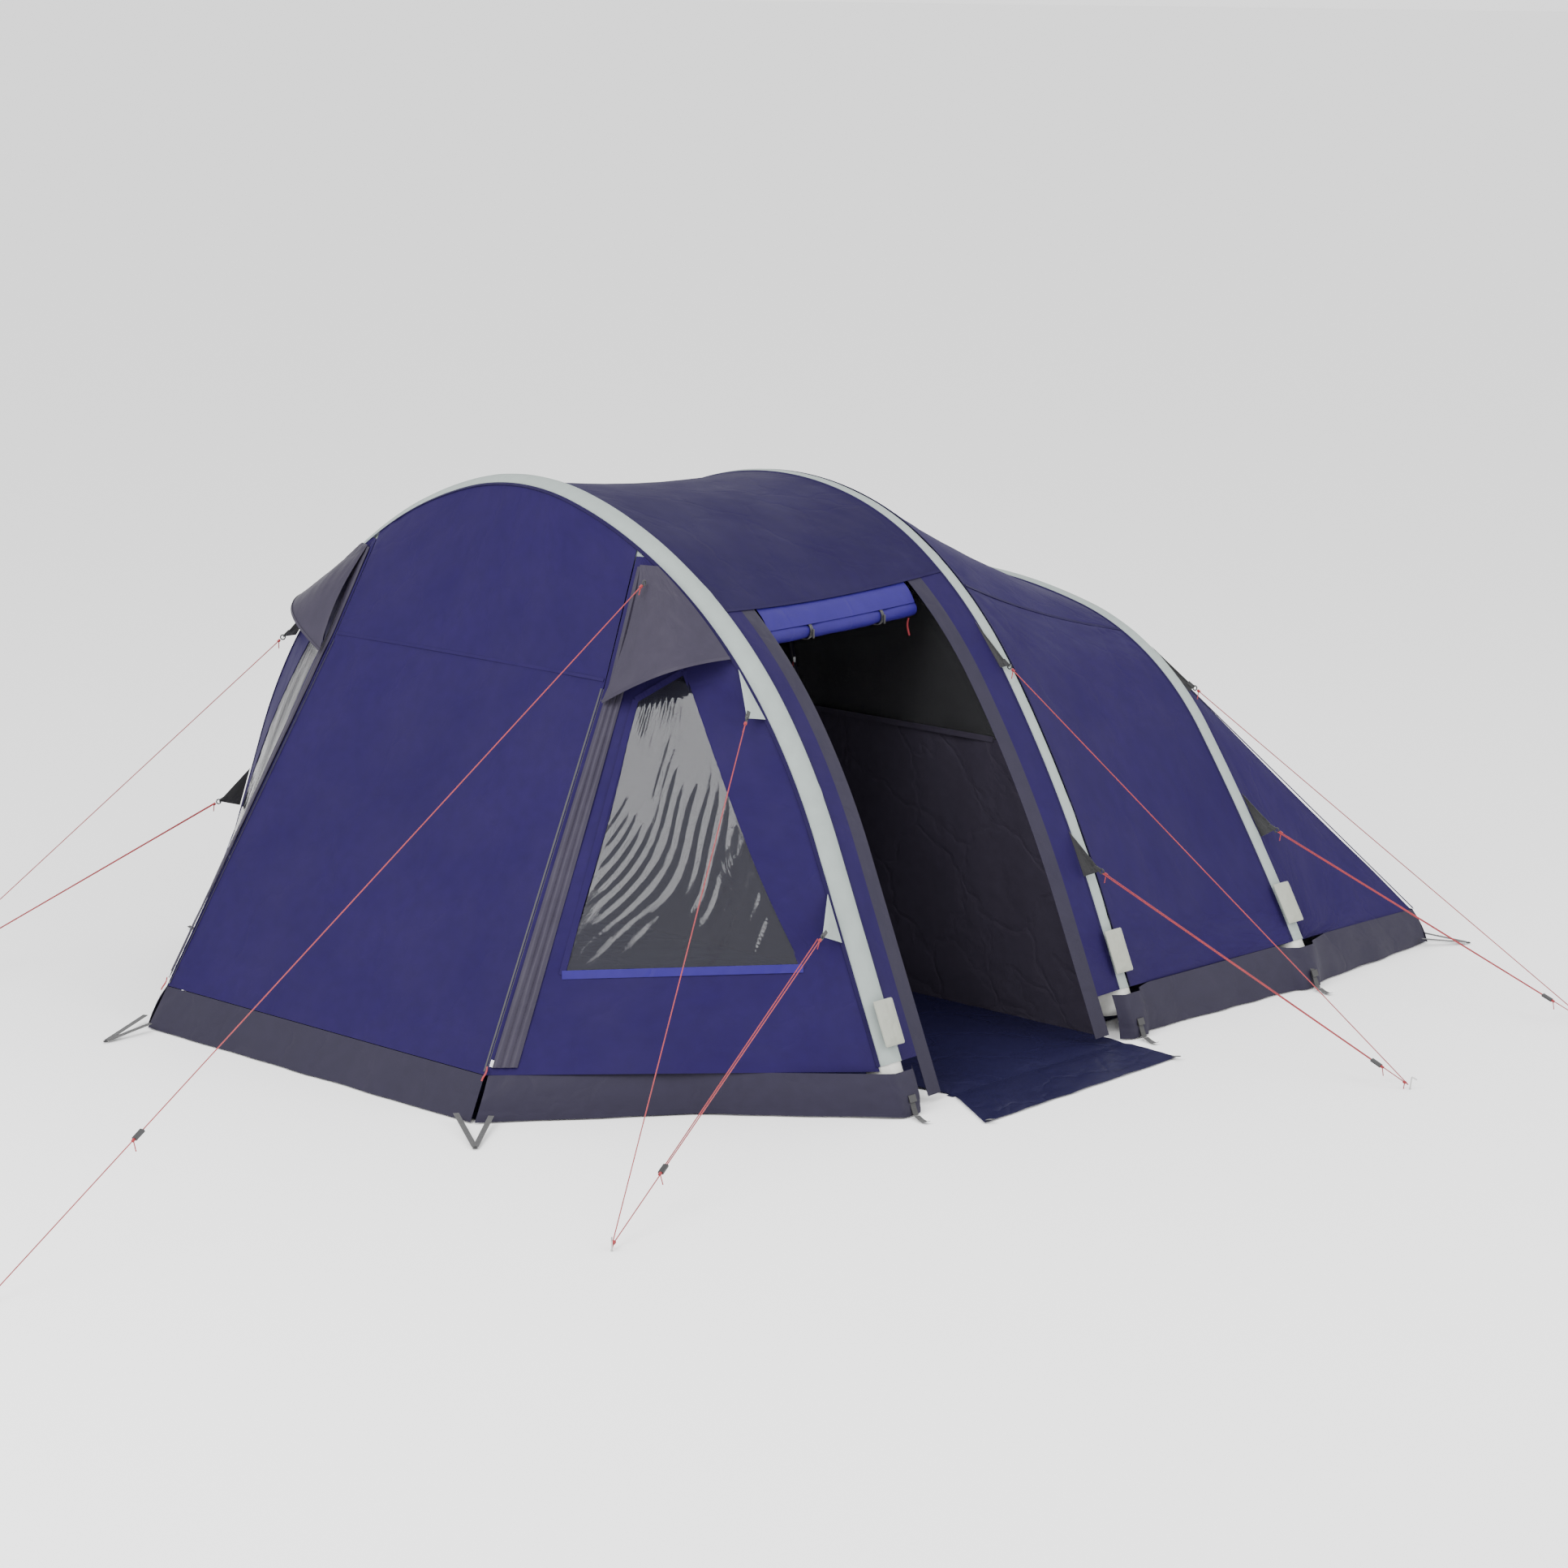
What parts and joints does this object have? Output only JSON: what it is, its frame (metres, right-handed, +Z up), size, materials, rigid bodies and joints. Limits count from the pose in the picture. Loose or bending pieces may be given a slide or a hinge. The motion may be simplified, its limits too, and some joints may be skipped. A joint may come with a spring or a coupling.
{
  "type": "inflatable tunnel tent",
  "caption": "Inflatable tunnel tent with arched air beams in sleeves, sloped porch with roll-up front door, rolled side door, mesh-fronted inner tent, skirts, peg straps and guy lines.",
  "frame": {"origin": "on the ground, midway between the front and rear hems on the tent's centre plane", "axes": "+X across the tent towards the side door, +Y along the tent from the porch to the sleeping end, +Z up"},
  "size_m": [5.9654, 6.8587, 2.048],
  "materials": {
    "fly_fabric": "matte",
    "roof_fabric": "matte",
    "roll_fabric": "matte",
    "sleeve_fabric": "matte",
    "bladder_film": "satin",
    "cream_fabric": "matte",
    "skirt_fabric": "matte",
    "cover_fabric": "matte",
    "window_film": "clear",
    "ground_fabric": "satin",
    "inner_fabric": "matte",
    "mesh_fabric": "matte",
    "webbing": "matte",
    "black_plastic": "satin",
    "grey_plastic": "satin",
    "zip_metal": "satin",
    "peg_steel": "satin",
    "guy_cord": "matte"
  },
  "bodies": {
    "tent": {"air_beam_front": "bladder_film", "air_beam_middle": "bladder_film", "air_beam_rear": "bladder_film", "beam_sleeve_front": "sleeve_fabric", "beam_sleeve_middle": "sleeve_fabric", "beam_sleeve_rear": "sleeve_fabric", "door_roll_ties": "roll_fabric", "doorway_jambs": "skirt_fabric", "doorway_strips": "fly_fabric", "front_door_upper": "fly_fabric", "front_door_zips": "black_plastic", "groundsheet": "ground_fabric", "guy_tabs": "webbing", "guyline_porch": "guy_cord", "guylines_left": "guy_cord", "guylines_right": "guy_cord", "inflation_valves": "grey_plastic", "inner_canopy": "inner_fabric", "inner_floor": "ground_fabric", "inner_front_wall": "inner_fabric", "inner_mesh": "mesh_fabric", "peg_straps": "webbing", "pegs": "peg_steel", "porch_skirts": "skirt_fabric", "porch_wall_left": "fly_fabric", "porch_wall_right": "fly_fabric", "porch_windows": "window_film", "rear_skirt": "skirt_fabric", "rear_slope": "fly_fabric", "roof_front": "roof_fabric", "roof_rear": "roof_fabric", "side_door_roll": "roll_fabric", "side_skirt_left": "skirt_fabric", "side_skirt_right": "skirt_fabric", "strap_buckles": "black_plastic", "strap_rings": "webbing", "wall_front_left": "fly_fabric", "wall_rear_left": "fly_fabric", "wall_rear_right": "fly_fabric", "window_hoods": "skirt_fabric", "zip_covers": "cover_fabric"},
    "front_door_panel": {"front_door_lower": "fly_fabric", "front_door_skirt": "skirt_fabric"},
    "threshold_flap": {"threshold_flap": "ground_fabric"},
    "front_slider_right": {"front_zip_slider_right": "zip_metal"},
    "front_slider_left": {"front_zip_slider_left": "zip_metal"},
    "inner_slider": {"inner_zip_slider": "zip_metal"},
    "valve_cap_front": {"valve_cap_front": "grey_plastic"},
    "valve_flap_front": {"valve_flap_front": "cream_fabric"},
    "valve_cap_middle": {"valve_cap_middle": "grey_plastic"},
    "valve_flap_middle": {"valve_flap_middle": "cream_fabric"},
    "valve_cap_rear": {"valve_cap_rear": "grey_plastic"},
    "valve_flap_rear": {"valve_flap_rear": "cream_fabric"},
    "runner_front_right": {"runner_front_right": "black_plastic"},
    "runner_middle_right": {"runner_middle_right": "black_plastic"},
    "runner_rear_right": {"runner_rear_right": "black_plastic"},
    "runner_front_left": {"runner_front_left": "black_plastic"},
    "runner_middle_left": {"runner_middle_left": "black_plastic"},
    "runner_rear_left": {"runner_rear_left": "black_plastic"},
    "runner_porch": {"runner_porch": "black_plastic"}
  },
  "joints": [
    {"name": "front_door_lift", "type": "hinge", "parent": "tent", "child": "front_door_panel", "pos_m": [0, -1.4, 1.4], "axis": [-1, 0, 0], "range_deg": [0, 60]},
    {"name": "threshold_flap_fold", "type": "hinge", "parent": "tent", "child": "threshold_flap", "pos_m": [1.839, -0.335, 0.001], "axis": [0, -1, 0], "range_deg": [0, 90]},
    {"name": "front_zip_right", "type": "slide", "parent": "tent", "child": "front_slider_right", "axis": [-0.1158, 0.5088, 0.8531], "range_m": [0, 1.1]},
    {"name": "front_zip_left", "type": "slide", "parent": "tent", "child": "front_slider_left", "axis": [0.0795, 0.5106, 0.8561], "range_m": [0, 1.1]},
    {"name": "inner_zip", "type": "slide", "parent": "tent", "child": "inner_slider", "axis": [0, 0, 1], "range_m": [-0.2, 0.18]},
    {"name": "valve_flap_front_lift", "type": "hinge", "parent": "tent", "child": "valve_flap_front", "pos_m": [1.7624, -1.105, 0.3891], "axis": [0, -1, 0], "range_deg": [0, 110]},
    {"name": "valve_cap_front_turn", "type": "hinge", "parent": "tent", "child": "valve_cap_front", "pos_m": [1.7723, -1.105, 0.3124], "axis": [0.9205, 0, 0.3907], "range_deg": [0, 180]},
    {"name": "valve_flap_middle_lift", "type": "hinge", "parent": "tent", "child": "valve_flap_middle", "pos_m": [1.6941, 0.255, 0.3891], "axis": [0, -1, 0], "range_deg": [0, 110]},
    {"name": "valve_cap_middle_turn", "type": "hinge", "parent": "tent", "child": "valve_cap_middle", "pos_m": [1.7041, 0.255, 0.3124], "axis": [0.9205, 0, 0.3907], "range_deg": [0, 180]},
    {"name": "valve_flap_rear_lift", "type": "hinge", "parent": "tent", "child": "valve_flap_rear", "pos_m": [1.697, 1.3, 0.3949], "axis": [0, -1, 0], "range_deg": [0, 110]},
    {"name": "valve_cap_rear_turn", "type": "hinge", "parent": "tent", "child": "valve_cap_rear", "pos_m": [1.7163, 1.3, 0.32], "axis": [0.866, 0, 0.5], "range_deg": [0, 180]},
    {"name": "runner_front_right_slide", "type": "slide", "parent": "tent", "child": "runner_front_right", "axis": [-0.3207, 0.8839, 0.3404], "range_m": [0, 0.2]},
    {"name": "runner_middle_right_slide", "type": "slide", "parent": "tent", "child": "runner_middle_right", "axis": [-0.9013, -0.1103, 0.4189], "range_m": [0, 0.2]},
    {"name": "runner_rear_right_slide", "type": "slide", "parent": "tent", "child": "runner_rear_right", "axis": [-0.9152, -0.1187, 0.385], "range_m": [0, 0.2]},
    {"name": "runner_front_left_slide", "type": "slide", "parent": "tent", "child": "runner_front_left", "axis": [0.328, 0.8395, 0.4331], "range_m": [0, 0.2]},
    {"name": "runner_middle_left_slide", "type": "slide", "parent": "tent", "child": "runner_middle_left", "axis": [0.9015, -0.1089, 0.4189], "range_m": [0, 0.2]},
    {"name": "runner_rear_left_slide", "type": "slide", "parent": "tent", "child": "runner_rear_left", "axis": [0.9154, -0.1173, 0.385], "range_m": [0, 0.2]},
    {"name": "runner_porch_slide", "type": "slide", "parent": "tent", "child": "runner_porch", "axis": [-0.137, 0.874, 0.4663], "range_m": [0, 0.2]}
  ]
}
